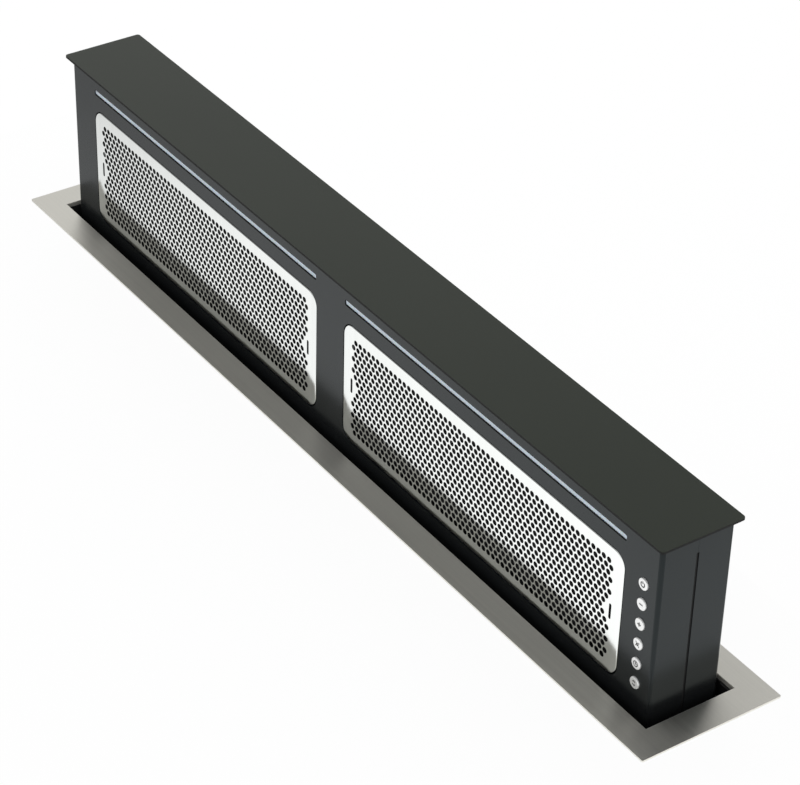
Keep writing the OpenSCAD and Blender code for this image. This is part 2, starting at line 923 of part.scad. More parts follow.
module lid_seal()
  color("#0d0d0d")
    raise_z(lid_low - seal_h, lid_low)
      difference() {
        round_rect(2 * (lid_x - seal_in), 2 * (lid_y - seal_in), lid_r - seal_in / 2);
        round_rect(2 * (head_x + glide_gap), 2 * (head_y + glide_gap), bend_r + glide_gap);
      }

module lid_screws()
  color("#a9abad")
    for (s = lid_screw_share, f = [-1, 1]) {
      rod_z(lid_low - shell_t, lid_low + lid_screw_deep, s * head_x, f * lid_screw_y, screw_r);
      rod_z(lid_low - shell_t - screw_head_t, lid_low - shell_t, s * head_x, f * lid_screw_y,
        screw_head_r);
    }

module centre_post()
  color("#85888a") {
    block(-shell_t / 2, shell_t / 2, -shell_y, shell_y, head_low + post_end, lid_low - post_end);
    for (f = [0, 1])
      mirror([0, f, 0])
        block(-post_flange, post_flange, shell_y - shell_t, shell_y, head_low + post_end,
          lid_low - post_end);
  }

module lift_legs()
  color("#9a9da0")
    two_sided()
      difference() {
        block(leg_x, shell_x, -leg_y, leg_y, leg_low, lid_low - leg_drop);
        block(leg_x - over, shell_x - leg_t, leg_t - leg_y, leg_y - leg_t, leg_low - over,
          lid_low - leg_drop + over);
      }

module tie_bar()
  color("#9a9da0") {
    block(-leg_x, leg_x, -leg_y, leg_t - leg_y, leg_low, leg_low + tie_h);
    block(-leg_x, leg_x, leg_t - leg_y, 0, leg_low, leg_low + leg_t);
    block(flag_x - flag_w / 2, flag_x + flag_w / 2, 0, flag_reach, leg_low, leg_low + leg_t);
  }

module belt_clamps() {
  strand0 = drive_y - pulley_r - belt_gap - belt_t;
  z0 = leg_low + clamp_up;
  color("#2a2c2e")
    two_sided()
      difference() {
        block(belt_x0 - leg_t, shell_x - leg_t, strand_y - clamp_y, strand_y + clamp_y, z0,
          z0 + clamp_h);
        block(belt_x0 - glide_gap, belt_x1 + glide_gap, strand0 - glide_gap,
          strand0 + belt_t + glide_gap, z0 - over, z0 + clamp_h + over);
      }
}

module glide_shoes()
  color("#e4e2d8")
    two_sided()
      block(shell_x, case_x - rail_t - glide_gap, -shoe_y, shoe_y, leg_low, leg_low + shoe_h);

// Staggered holes, left out in a notch round the grip slot at each end
module filter_holes()
  for (r = [0 : hole_rows - 1]) {
    mid = (hole_rows - 1) / 2;
    short = r % 2 == 0 ? 1 : 0;
    notch = max(0, notch_rows - abs(r - mid));
    last = hole_cols - 1 - short;
    for (c = [0 : last]) {
      from_end = min(c, last - c) + short / 2;
      if (from_end >= (notch + short) / 2 - 1 / 4)
        translate([(c - last / 2) * hole_pitch, (r - mid) * row_pitch])
          circle(d = hole_d, $fn = 24);
    }
  }

module filter_face(side)
  color("#d9dbd9") {
    y0 = -head_y - filter_proud;
    raise_y(y0, y0 + face_t)
      on_filter(side)
        difference() {
          filter_outline(0);
          filter_holes();
          for (s = [-1, 1])
            translate([s * (filter_w / 2 - grip_in), 0]) stadium_upright(grip_w, grip_h);
        }
    raise_y(y0 + face_t, pocket_y)
      on_filter(side)
        difference() {
          filter_outline(0);
          filter_outline(-face_t);
        }
  }

module filter_face_left() filter_face(-1);

module filter_face_right() filter_face(1);

module filter_meshes() {
  y0 = -head_y - filter_proud + face_t + mesh_back;
  color("#8b8d8e")
    for (s = [-1, 1])
      raise_y(y0, y0 + mesh_t)
        on_filter(s)
          round_rect(filter_w - 2 * (face_t + mesh_end), filter_h - 2 * face_t - 2 * glide_gap,
            filter_r / 3);
}

module filter_frames() {
  y0 = -head_y - filter_proud + face_t + mesh_back + mesh_t;
  color("#a9acad")
    for (s = [-1, 1])
      raise_y(y0, pocket_y)
        on_filter(s) {
          difference() {
            filter_outline(-face_t);
            filter_outline(-face_t - back_rib);
          }
          for (i = [1 : back_ribs - 1])
            translate([filter_w * (i / back_ribs - 1 / 2) - back_rib / 4, back_rib - filter_h / 2])
              square([back_rib / 2, filter_h - 2 * back_rib]);
        }
}

module led_lenses()
  color("#c5d4de")
    raise_y(-head_y + lens_in, -head_y + lens_in + lens_t) on_slots() slot_outline(lens_gap);

module led_housings()
  color("#b5b8ba")
    difference() {
      raise_y(-shell_y, light_d - shell_y)
        on_slots()
          square([slot_x1 - slot_x0 + 2 * light_wall, slot_h + 2 * light_wall], center = true);
      raise_y(-shell_y - over, light_d - light_floor - shell_y) on_slots() slot_outline(0);
    }

module button(i)
  color("#e9ebea") {
    z = button_zs[i];
    rod_y(-head_y - button_proud, flange_y, button_x, z, button_r);
    rod_y(flange_y, flange_y + cap_flange_t, button_x, z, button_r + flange_over);
    rod_y(flange_y + cap_flange_t, stem_y, button_x, z, stem_r);
  }

module button_1() button(0);

module button_2() button(1);

module button_3() button(2);

module button_4() button(3);

module button_5() button(4);

module button_6() button(5);

module button_carrier()
  color("#1a1a1a")
    difference() {
      block(button_x - carrier_x, button_x + carrier_x, -shell_y, board_y - board_t,
        button_zs[button_count - 1] - carrier_z, button_zs[0] + carrier_z);
      for (z = button_zs)
        rod_y(-shell_y - over, board_y - board_t + over, button_x, z,
          button_r + flange_over + glide_gap);
    }

module button_board()
  color("#1f5a36") {
    face = board_y - board_t;
    block(button_x - carrier_x, button_x + carrier_x, face, board_y,
      button_zs[button_count - 1] - carrier_z, button_zs[0] + carrier_z);
    for (z = button_zs) {
      block(button_x - switch_w / 2, button_x + switch_w / 2, face - switch_t + board_t, face,
        z - switch_w / 2, z + switch_w / 2);
      rod_y(plunger_y, face - switch_t + board_t, button_x, z, plunger_r);
    }
  }

trim_plate();
casing_front();
casing_rear();
casing_ends();
casing_floor();
feet();
foot_bolts();
lip_screws();
case_rivets();
guide_pads();
guide_rails();
grease_tray();
lift_gearmotor();
shaft_bearings();
idler_brackets();
belts();
limit_switches();
blower_box();
blower_cover();
scroll_wrap();
inlet_ring();
blower_motor();
outlet_spigot();
flap_pin();
control_box();
control_lid();
control_board();
cable_gland();
cross_shaft();
drive_pulleys();
idler_left();
idler_right();
impeller();
flap_front();
flap_rear();
head_front_shell();
head_rear_shell();
lid();
lid_seal();
lid_screws();
centre_post();
lift_legs();
tie_bar();
belt_clamps();
glide_shoes();
filter_face_left();
filter_face_right();
filter_meshes();
filter_frames();
led_lenses();
led_housings();
button_carrier();
button_board();
button_1();
button_2();
button_3();
button_4();
button_5();
button_6();
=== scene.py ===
import json
import math

import bmesh
import bpy
from mathutils import Matrix, Vector


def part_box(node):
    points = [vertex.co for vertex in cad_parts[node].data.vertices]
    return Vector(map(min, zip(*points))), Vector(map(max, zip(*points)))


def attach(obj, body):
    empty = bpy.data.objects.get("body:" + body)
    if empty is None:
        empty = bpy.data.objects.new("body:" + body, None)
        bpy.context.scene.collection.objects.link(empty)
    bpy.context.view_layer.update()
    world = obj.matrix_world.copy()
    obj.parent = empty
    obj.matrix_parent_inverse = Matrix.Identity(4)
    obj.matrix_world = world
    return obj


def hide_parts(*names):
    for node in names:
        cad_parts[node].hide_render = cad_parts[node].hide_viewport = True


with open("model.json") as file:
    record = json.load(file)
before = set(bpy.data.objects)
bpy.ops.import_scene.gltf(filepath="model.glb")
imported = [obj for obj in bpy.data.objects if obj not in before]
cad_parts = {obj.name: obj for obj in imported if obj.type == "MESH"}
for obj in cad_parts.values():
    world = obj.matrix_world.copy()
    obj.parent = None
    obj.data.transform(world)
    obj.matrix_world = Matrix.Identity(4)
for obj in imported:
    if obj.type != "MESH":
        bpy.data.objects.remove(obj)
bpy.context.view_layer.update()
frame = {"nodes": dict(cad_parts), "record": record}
nodes = frame["nodes"]
slotOf = {part["node"]: part["material_slot"] for part in frame["record"]["subparts"]}
print("frame loaded:", len(nodes), "parts")

mm = 0.001  # every size below is in millimetres unless its name says otherwise


# helpers for node trees

def addNode(tree, kind, **settings):
    node = tree.nodes.new(kind)
    for key, value in settings.items():
        setattr(node, key, value)
    return node


def joinSockets(tree, source, target):
    tree.links.new(source, target)


def sumNode(tree, operation, first, second):
    # a Math node with two inputs, each a socket or a number
    node = addNode(tree, "ShaderNodeMath", operation=operation)
    for socket, value in zip(node.inputs, (first, second)):
        if isinstance(value, (int, float)):
            socket.default_value = value
        else:
            tree.links.new(value, socket)
    return node.outputs[0]


def blendColour(tree, share, first, second, blendType="MIX"):
    # sockets 0, 6 and 7 of the node are the share and the two colours
    node = addNode(tree, "ShaderNodeMix", data_type="RGBA", blend_type=blendType)
    for index, value in ((0, share), (6, first), (7, second)):
        socket = node.inputs[index]
        if isinstance(value, (int, float)):
            socket.default_value = value
        elif isinstance(value, (tuple, list)):
            socket.default_value = (*value, 1)
        else:
            tree.links.new(value, socket)
    return node.outputs[2]


def stretchRange(tree, value, low, high, toLow, toHigh):
    node = addNode(tree, "ShaderNodeMapRange")
    for key, number in (("From Min", low), ("From Max", high), ("To Min", toLow), ("To Max", toHigh)):
        node.inputs[key].default_value = number
    tree.links.new(value, node.inputs["Value"])
    return node.outputs[0]


def noiseAt(tree, place, scale, detail=3, stretch=(1, 1, 1)):
    mapping = addNode(tree, "ShaderNodeMapping")
    mapping.inputs["Scale"].default_value = stretch
    tree.links.new(place, mapping.inputs["Vector"])
    noise = addNode(tree, "ShaderNodeTexNoise")
    noise.inputs["Scale"].default_value = scale
    noise.inputs["Detail"].default_value = detail
    tree.links.new(mapping.outputs[0], noise.inputs["Vector"])
    return noise.outputs["Fac"]


def shadeBy(tree, tone, source, low, high, reach):
    # a tone made up to reach darker and lighter by a grey source
    spread = stretchRange(tree, source, low, high, 1 - reach, 1 + reach)
    grey = addNode(tree, "ShaderNodeCombineColor")
    for socket in grey.inputs:
        tree.links.new(spread, socket)
    return blendColour(tree, 1, tone, grey.outputs[0], "MULTIPLY")


def bumpFrom(tree, height, strength, depth, before=None):
    bump = addNode(tree, "ShaderNodeBump")
    bump.inputs["Strength"].default_value = strength
    bump.inputs["Distance"].default_value = depth * mm
    tree.links.new(height, bump.inputs["Height"])
    if before is not None:
        tree.links.new(before, bump.inputs["Normal"])
    return bump.outputs[0]


# finishes, one for each material slot of the record, and one for the lip inside the trim's opening

# the range of values used of each noise, its detail, and how much rougher a rubbed place is
noiseBand = {"clouds": (0.35, 0.65), "grain": (0.3, 0.7), "rubbed": (0.62, 0.78)}
noiseDetail = {"grain": 4, "rubbed": 6, "peel": 2}
rubbedRough = 0.15


def makeFinish(name, look):
    finish = bpy.data.materials.new(name)
    finish.use_nodes = True
    tree = finish.node_tree
    tree.nodes.clear()
    out = addNode(tree, "ShaderNodeOutputMaterial")
    shader = addNode(tree, "ShaderNodeBsdfPrincipled")
    joinSockets(tree, shader.outputs[0], out.inputs["Surface"])
    place = addNode(tree, "ShaderNodeTexCoord").outputs["Object"]
    for socket, value in look.get("sockets", {}).items():
        shader.inputs[socket].default_value = value

    # cloudy change of tone over the whole piece, and a fine grain inside it
    clouds = noiseAt(tree, place, look["cloudScale"])
    grain = noiseAt(tree, place, look["grainScale"], noiseDetail["grain"], look.get("stretch", (1, 1, 1)))
    clouds = stretchRange(tree, clouds, *noiseBand["clouds"], 0, 1)
    tone = blendColour(tree, clouds, look["dark"], look["light"])
    tone = shadeBy(tree, tone, grain, *noiseBand["grain"], look["grainTone"])

    # rubbed and dusty places, few and soft
    rubbed = noiseAt(tree, place, look["wearScale"], noiseDetail["rubbed"])
    rubbed = stretchRange(tree, rubbed, *noiseBand["rubbed"], 0, look["wear"])
    tone = blendColour(tree, rubbed, tone, look["worn"])
    rough = stretchRange(tree, grain, *noiseBand["grain"], look["roughLow"], look["roughHigh"])
    rough = sumNode(tree, "ADD", rough, sumNode(tree, "MULTIPLY", rubbed, rubbedRough))
    joinSockets(tree, rough, shader.inputs["Roughness"])

    normal = bumpFrom(tree, grain, look["bump"], look["bumpDepth"])
    if "peelScale" in look:  # the slight waviness of paint or of rolled sheet
        peel = noiseAt(tree, place, look["peelScale"], noiseDetail["peel"])
        normal = bumpFrom(tree, peel, look["peelBump"], look["peelDepth"], normal)
    joinSockets(tree, normal, shader.inputs["Normal"])
    if "cellScale" in look:  # zinc spangle, or the strands of the mesh
        cells = addNode(tree, "ShaderNodeTexVoronoi")
        cells.inputs["Scale"].default_value = look["cellScale"]
        tree.links.new(place, cells.inputs["Vector"])
        tone = shadeBy(tree, tone, cells.outputs["Color"], 0, 1, look["cellTone"])
    joinSockets(tree, tone, shader.inputs["Base Color"])
    if "tangent" in look:  # brushed metal spreads its highlight across the brush lines
        tangent = addNode(tree, "ShaderNodeCombineXYZ")
        for socket, value in zip(tangent.inputs, look["tangent"]):
            socket.default_value = value
        joinSockets(tree, tangent.outputs[0], shader.inputs["Tangent"])
    return finish


plain = {"cloudScale": 6, "grainScale": 900, "grainTone": 0.04, "wearScale": 30, "wear": 0.25,
         "roughLow": 0.35, "roughHigh": 0.45, "bump": 0.2, "bumpDepth": 0.05}

finishLooks = {
    "brushed_trim": {
        **plain, "dark": (0.79, 0.775, 0.712), "light": (0.842, 0.827, 0.764), "worn": (0.88, 0.87, 0.81),
        "cloudScale": 3, "grainScale": 420, "stretch": (0.012, 1, 1), "grainTone": 0.03, "wear": 0.04,
        "roughLow": 0.40, "roughHigh": 0.44, "bump": 0.05, "bumpDepth": 0.02, "tangent": (0, 1, 0),
        "sockets": {"Metallic": 1, "Anisotropic": 0.8},
    },
    "polished_steel": {
        **plain, "dark": (0.925, 0.95, 0.93), "light": (0.955, 0.98, 0.96), "worn": (0.90, 0.915, 0.90),
        "cloudScale": 4, "grainScale": 300, "stretch": (1, 1, 0.03), "grainTone": 0.02, "wear": 0.10,
        "roughLow": 0.09, "roughHigh": 0.13, "bump": 0.04, "bumpDepth": 0.01, "sockets": {"Metallic": 1},
    },
    "body_black": {
        **plain, "dark": (0.0092, 0.0100, 0.0104), "light": (0.0110, 0.0120, 0.0125),
        "worn": (0.02, 0.022, 0.023), "grainScale": 1500, "grainTone": 0.03, "wear": 0.08, "roughLow": 0.21,
        "roughHigh": 0.25, "bump": 0.03, "bumpDepth": 0.01, "peelScale": 260, "peelBump": 0.02,
        "peelDepth": 0.02,
        "sockets": {"IOR": 1.45, "Specular IOR Level": 0.335, "Specular Tint": (0.80, 0.97, 1.0, 1)},
    },
    "lid_olive": {
        **plain, "dark": (0.0075, 0.0110, 0.0060), "light": (0.0095, 0.0130, 0.0075),
        "worn": (0.02, 0.023, 0.018), "cloudScale": 4, "grainScale": 2200, "grainTone": 0.05, "wear": 0.06,
        "roughLow": 0.34, "roughHigh": 0.40, "bump": 0.05, "bumpDepth": 0.01,
        "sockets": {"IOR": 1.45, "Specular IOR Level": 0.40, "Specular Tint": (0.925, 1.0, 0.89, 1)},
    },
    "casing_black": {
        **plain, "dark": (0.010, 0.010, 0.010), "light": (0.014, 0.014, 0.014), "worn": (0.05, 0.05, 0.048),
        "grainScale": 1300, "grainTone": 0.15, "roughLow": 0.5, "roughHigh": 0.62, "bump": 0.2,
        "bumpDepth": 0.03, "sockets": {"Specular IOR Level": 0.3},
    },
    "galvanised": {
        **plain, "dark": (0.40, 0.415, 0.425), "light": (0.52, 0.535, 0.545), "worn": (0.32, 0.325, 0.32),
        "cellScale": 95, "cellTone": 0.14, "roughLow": 0.36, "roughHigh": 0.50, "bump": 0.1,
        "bumpDepth": 0.03, "sockets": {"Metallic": 0.5},
    },
    "lip_steel": {
        **plain, "dark": (0.62, 0.60, 0.54), "light": (0.70, 0.68, 0.62), "worn": (0.55, 0.53, 0.48),
        "grainScale": 500, "roughLow": 0.36, "roughHigh": 0.46, "sockets": {"Metallic": 0.5},
    },
    "zinc_steel": {
        **plain, "dark": (0.47, 0.475, 0.47), "light": (0.58, 0.585, 0.58), "worn": (0.36, 0.35, 0.33),
        "grainScale": 700, "grainTone": 0.08, "roughLow": 0.26, "roughHigh": 0.38, "bump": 0.1,
        "bumpDepth": 0.02, "sockets": {"Metallic": 1},
    },
    # near-black in place of the mesh's own aluminium grey: painted shade, so the holes of the filter faces
    # read dark
    "mesh_aluminium": {
        **plain, "dark": (0.003, 0.003, 0.0035), "light": (0.007, 0.007, 0.008),
        "worn": (0.015, 0.015, 0.015), "cellScale": 420, "cellTone": 0.8, "roughLow": 0.5, "roughHigh": 0.7,
        "bump": 0.6, "bumpDepth": 0.4, "sockets": {"Metallic": 0.1, "Specular IOR Level": 0.12},
    },
    "anodised": {
        **plain, "dark": (0.50, 0.51, 0.52), "light": (0.60, 0.61, 0.62), "worn": (0.70, 0.70, 0.70),
        "grainScale": 1600, "roughLow": 0.32, "roughHigh": 0.40, "sockets": {"Metallic": 0.9},
    },
    "seal_rubber": {
        **plain, "dark": (0.006, 0.006, 0.006), "light": (0.010, 0.010, 0.010), "worn": (0.03, 0.03, 0.03),
        "roughLow": 0.6, "roughHigh": 0.75, "sockets": {"Specular IOR Level": 0.25},
    },
    "belt_rubber": {
        **plain, "dark": (0.016, 0.016, 0.016), "light": (0.026, 0.026, 0.026), "worn": (0.06, 0.06, 0.058),
        "roughLow": 0.6, "roughHigh": 0.75, "sockets": {"Specular IOR Level": 0.35},
    },
    "nylon_black": {
        **plain, "dark": (0.016, 0.016, 0.017), "light": (0.024, 0.024, 0.025), "worn": (0.05, 0.05, 0.05),
        "grainScale": 1800, "grainTone": 0.1, "roughLow": 0.42, "roughHigh": 0.55,
    },
    "nylon_white": {
        **plain, "dark": (0.66, 0.64, 0.58), "light": (0.76, 0.745, 0.69), "worn": (0.55, 0.52, 0.45),
        "grainScale": 1500, "roughLow": 0.38, "roughHigh": 0.48, "sockets": {"Subsurface Weight": 0.1},
    },
    "abs_black": {
        **plain, "dark": (0.022, 0.022, 0.023), "light": (0.032, 0.032, 0.033), "worn": (0.06, 0.06, 0.06),
        "grainScale": 1500, "grainTone": 0.12, "roughLow": 0.4, "roughHigh": 0.52, "bump": 0.3,
    },
    "motor_grey": {
        **plain, "dark": (0.085, 0.09, 0.094), "light": (0.11, 0.115, 0.12), "worn": (0.2, 0.2, 0.19),
        "roughLow": 0.38, "roughHigh": 0.5, "peelScale": 300, "peelBump": 0.15, "peelDepth": 0.05,
    },
    "lens_frost": {
        **plain, "dark": (0.61, 0.64, 0.69), "light": (0.67, 0.70, 0.75), "worn": (0.74, 0.77, 0.83),
        "cloudScale": 3, "grainScale": 2600, "grainTone": 0.02, "wear": 0.1, "roughLow": 0.3,
        "roughHigh": 0.4, "bump": 0.06, "bumpDepth": 0.02,
        "sockets": {"Subsurface Weight": 0.2, "IOR": 1.49},
    },
    "button_cap": {
        **plain, "dark": (0.93, 0.935, 0.925), "light": (0.97, 0.975, 0.965), "worn": (0.88, 0.88, 0.87),
        "grainScale": 500, "grainTone": 0.02, "roughLow": 0.20, "roughHigh": 0.28, "bump": 0.05,
        "bumpDepth": 0.01, "sockets": {"Metallic": 0.55},
    },
    "circuit": {
        **plain, "dark": (0.018, 0.085, 0.045), "light": (0.025, 0.11, 0.06), "worn": (0.10, 0.2, 0.1),
        "grainScale": 800, "roughLow": 0.3, "roughHigh": 0.4,
    },
}

finishes = {slot: makeFinish(slot, look) for slot, look in finishLooks.items()}
for nodeName, obj in nodes.items():
    if not obj.material_slots:
        obj.data.materials.append(None)
    for materialSlot in obj.material_slots:
        materialSlot.material = finishes[slotOf[nodeName]]
print("finishes made:", len(finishes))


# softened edges on the metalwork

edgeWork = {  # node: width of the rounding and its steps
    "trim_plate": (0.5, 3), "lid": (0.3, 2), "head_front_shell": (0.18, 2), "head_rear_shell": (0.18, 2),
    "feet": (0.3, 2), "foot_bolts": (0.3, 2), "casing_front": (0.3, 2), "casing_rear": (0.3, 2),
    "casing_ends": (0.3, 2), "casing_floor": (0.3, 2), "blower_box": (0.3, 2), "blower_cover": (0.4, 2),
    "blower_motor": (0.8, 2), "outlet_spigot": (0.4, 2), "control_box": (0.4, 2), "control_lid": (0.4, 2),
    "lift_gearmotor": (0.5, 2), "tie_bar": (0.3, 2), "glide_shoes": (0.5, 2), "guide_pads": (0.5, 2),
    "belt_clamps": (0.5, 2), "shaft_bearings": (0.5, 2), **{f"button_{n}": (0.55, 3) for n in range(1, 7)},
}
weldGap = 0.002
angles = {"flat": 0.5, "rounded": 40, "crease": 42}  # degrees: joined as flat, rounded off, drawn sharp


def softenEdges(obj, width, steps):
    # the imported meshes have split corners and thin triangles, so flat faces are joined before the bevel
    weld = obj.modifiers.new("weld", "WELD")
    weld.merge_threshold = weldGap * mm
    flat = obj.modifiers.new("flat", "DECIMATE")
    flat.decimate_type = "DISSOLVE"
    flat.angle_limit = math.radians(angles["flat"])
    bevel = obj.modifiers.new("edge", "BEVEL")
    bevel.width = width * mm
    bevel.segments = steps
    bevel.limit_method = "ANGLE"
    bevel.angle_limit = math.radians(angles["rounded"])
    bevel.use_clamp_overlap = True
    bevel.harden_normals = True


for nodeName, (width, steps) in edgeWork.items():
    softenEdges(nodes[nodeName], width, steps)
print("edges softened:", len(edgeWork))


# pieces made here

def boxOf(nodeName):
    low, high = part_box(nodeName)
    return Vector(low) / mm, Vector(high) / mm


def addPoint(mesh, x, y, z):
    return mesh.verts.new(Vector((x, y, z)) * mm)


def joinLoops(mesh, first, second):
    # quads between two closed loops of points
    for k in range(len(first)):
        k2 = (k + 1) % len(first)
        mesh.faces.new((first[k], first[k2], second[k2], second[k]))


def finishPiece(name, mesh, body, slot, look=None):
    # smooth faces with sharp creases; the finish is the slot's own unless another look is named
    bmesh.ops.recalc_face_normals(mesh, faces=mesh.faces)
    for face in mesh.faces:
        face.smooth = True
    for edge in mesh.edges:
        edge.smooth = edge.calc_face_angle(0) < math.radians(angles["crease"])
    data = bpy.data.meshes.new(name)
    mesh.to_mesh(data)
    mesh.free()
    obj = bpy.data.objects.new(name, data)
    bpy.context.scene.collection.objects.link(obj)
    data.materials.append(finishes[look or slot])
    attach(obj, body)
    return obj


def addBlock(mesh, low, high):
    corners = [addPoint(mesh, x, y, z) for x in (low[0], high[0]) for y in (low[1], high[1])
               for z in (low[2], high[2])]
    for loop in ((0, 1, 3, 2), (4, 6, 7, 5), (0, 4, 5, 1), (2, 3, 7, 6), (0, 2, 6, 4), (1, 5, 7, 3)):
        mesh.faces.new([corners[k] for k in loop])


def roundedPath(halfX, halfY, radius, steps):
    # points and outward directions of a rounded rectangle seen from above, anticlockwise
    path = []
    for turn, (sx, sy) in enumerate(((1, 1), (-1, 1), (-1, -1), (1, -1))):
        for k in range(steps + 1):
            angle = math.radians(90 * (turn + k / steps))
            out = Vector((math.cos(angle), math.sin(angle)))
            centre = Vector((sx * (halfX - radius), sy * (halfY - radius)))
            path.append((centre + out * radius, out))
    return path


def addBand(mesh, halfX, halfY, shape, near, far, low, high):
    # an upright band round a rounded rectangle, between two distances measured outward from it
    rings = []
    for point, out in roundedPath(halfX, halfY, shape["corner"], shape["steps"]):
        inner, outer = point + out * near, point + out * far
        corners = ((inner, low), (outer, low), (outer, high), (inner, high))
        rings.append([addPoint(mesh, place.x, place.y, z) for place, z in corners])
    for ring, following in zip(rings, rings[1:] + rings[:1]):
        joinLoops(mesh, ring, following)


filterFace = {"corner": 12, "roll": 0.9, "steps": 6, "profile": 0.5, "nearEdge": 0.03}


def edgeDistance(place, middle, half, corner):
    # how far a point lies outside a rounded rectangle in the XZ plane, negative inside
    across = abs(place.x - middle.x) - (half.x - corner)
    upward = abs(place.z - middle.z) - (half.z - corner)
    return math.hypot(max(across, 0), max(upward, 0)) + min(max(across, upward), 0) - corner


def makeFilterFace(sideName):
    # the perforated cassette front, with its outer edge rolled over as pressed sheet is
    f = filterFace
    nodeName = "filter_face_" + sideName
    low, high = boxOf(nodeName)
    middle, half = (low + high) / 2, (high - low) / 2
    mesh = bmesh.new()
    mesh.from_mesh(nodes[nodeName].data)
    bmesh.ops.remove_doubles(mesh, verts=mesh.verts, dist=weldGap * mm)

    def onRim(vert):
        place = vert.co / mm
        outside = edgeDistance(place, middle, half, f["corner"])
        return abs(place.y - low.y) < f["nearEdge"] and abs(outside) < f["nearEdge"]

    rim = [edge for edge in mesh.edges if all(onRim(vert) for vert in edge.verts)]
    bmesh.ops.bevel(mesh, geom=rim, offset=f["roll"] * mm, segments=f["steps"], profile=f["profile"],
                    affect="EDGES")
    piece = finishPiece("filter_plate_" + sideName, mesh, "head", "polished_steel")
    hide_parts(nodeName)
    return len(rim)


print("filter faces made, rim edges:", [makeFilterFace(sideName) for sideName in ("left", "right")])


seamStrip = {"sunk": 0.7, "thick": 0.4, "halfWide": 1.05, "topDrop": 16.2}


def makeSeamStrips():
    # the rubber strip down each end of the head, set back between its two shells
    t = seamStrip
    low, high = boxOf("head_front_shell")
    top = boxOf("lid")[0].z - t["topDrop"]
    mesh = bmesh.new()
    for side in (-1, 1):
        x = sorted(side * (high.x - t["sunk"] - depth) for depth in (0, t["thick"]))
        addBlock(mesh, (x[0], -t["halfWide"], low.z), (x[1], t["halfWide"], top))
    finishPiece("head_seam_strips", mesh, "head", "seal_rubber")


makeSeamStrips()
print("seam strips made")


lipLining = {"thick": 0.25, "off": 0.03, "top": 1.0, "low": -2.4, "corner": 1, "steps": 4}


def makeLipLining():
    # the bare folded lip that shows inside the opening, above the casing
    p = lipLining
    mesh = bmesh.new()
    addBand(mesh, boxOf("casing_ends")[1].x, boxOf("casing_rear")[1].y, p,
            -(p["off"] + p["thick"]), -p["off"], p["low"], p["top"])
    finishPiece("trim_lip_lining", mesh, "base", "brushed_trim", "lip_steel")


makeLipLining()
print("lip lining made")


lidEdge = {"corner": 2.5, "under": 0.05, "below": 0.35, "proud": 0.06, "steps": 8}


def makeLidEdge():
    # a dark band round the lid's edge
    e = lidEdge
    low, high = boxOf("lid")
    mesh = bmesh.new()
    addBand(mesh, high.x, high.y, e, -e["proud"], e["proud"], low.z + e["under"], high.z - e["below"])
    finishPiece("lid_edge_strip", mesh, "head", "seal_rubber")


makeLidEdge()
print("lid edge made")


# the dark bead is painted shade: the shadow line under each lens
lensShadeBead = {"front": 0.35, "back": 0.05, "under": 0.02, "high": 0.55}


def lensSpans():
    # where each of the two lenses starts and ends along X
    xs = [vert.co.x / mm for vert in nodes["led_lenses"].data.vertices]
    left, right = [x for x in xs if x < 0], [x for x in xs if x > 0]
    return (min(left), max(left)), (min(right), max(right))


def makeLensShadeBeads():
    # a dark bead along the lower edge of each light lens, painted shade standing for the shadow line under
    # the lens
    b = lensShadeBead
    low, high = boxOf("led_lenses")
    front, back = boxOf("head_front_shell")[0].y + b["front"], low.y - b["back"]
    mesh = bmesh.new()
    for x0, x1 in lensSpans():
        addBlock(mesh, (x0, front, low.z + b["under"]), (x1, back, low.z + b["high"]))
    finishPiece("lens_painted_shade_beads", mesh, "head", "seal_rubber")


makeLensShadeBeads()
print("lens beads made")


buttonMarks = {"raised": 0.04, "sunk": 0.3, "line": 0.95, "reach": 2.3, "arcSteps": 20}

# shares of the reach: an arc's radius, with its start and end in degrees and its share of the line,
# a stroke's x and z at both ends, and where the four rays on the diagonals start and end
markShapes = {
    1: {"arcs": ((0.85, 125, 415, 1),), "strokes": ((0, 0.25, 0, 1.15),)},  # on and off
    2: {"strokes": ((-0.8, 0, 0.8, 0),)},  # slower
    3: {"strokes": ((-0.8, 0, -0.17, 0), (0.17, 0, 0.8, 0), (0, -0.8, 0, 0.8))},  # faster
    4: {"arcs": ((0.4, 0, 360, 1),), "rays": (0.75, 1.15)},  # light
    5: {"arcs": ((0.95, 0, 360, 0.8),), "strokes": ((0, -0.15, 0, 0.6), (0.12, -0.1, 0.5, -0.1))},  # timer
    6: {"strokes": ((-0.6, 0.35, 0, 0.95), (0.05, 0.9, 0.6, 0.35),  # up and down
                    (-0.6, -0.35, 0, -0.95), (0.05, -0.9, 0.6, -0.35))},
}


def addStroke(mesh, start, end, width, front, back):
    # a flat bar between two points of the button's face, given as (x, z)
    a, b = Vector((start[0], 0, start[1])), Vector((end[0], 0, end[1]))
    along = (b - a).normalized()
    side = Vector((-along.z, 0, along.x)) * width / 2
    corners = [a - side, b - side, b + side, a + side]
    loops = [[addPoint(mesh, corner.x, y, corner.z) for corner in corners] for y in (front, back)]
    mesh.faces.new(loops[0])
    mesh.faces.new(loops[1][::-1])
    joinLoops(mesh, loops[1], loops[0])


def addArc(mesh, centre, radius, fromAngle, toAngle, width, front, back):
    # a flat arc, whole when it turns by 360 degrees
    steps = buttonMarks["arcSteps"]
    whole = abs(toAngle - fromAngle) >= 360
    count = steps if whole else steps + 1
    inner, outer = radius - width / 2, radius + width / 2
    rings = []
    for k in range(count):
        angle = math.radians(fromAngle + (toAngle - fromAngle) * k / steps)
        rings.append([addPoint(mesh, centre[0] + r * math.cos(angle), y, centre[1] + r * math.sin(angle))
                      for r, y in ((inner, front), (outer, front), (outer, back), (inner, back))])
    for k in range(count if whole else count - 1):
        joinLoops(mesh, rings[k], rings[(k + 1) % count])
    if not whole:
        mesh.faces.new(rings[0])
        mesh.faces.new(rings[-1][::-1])


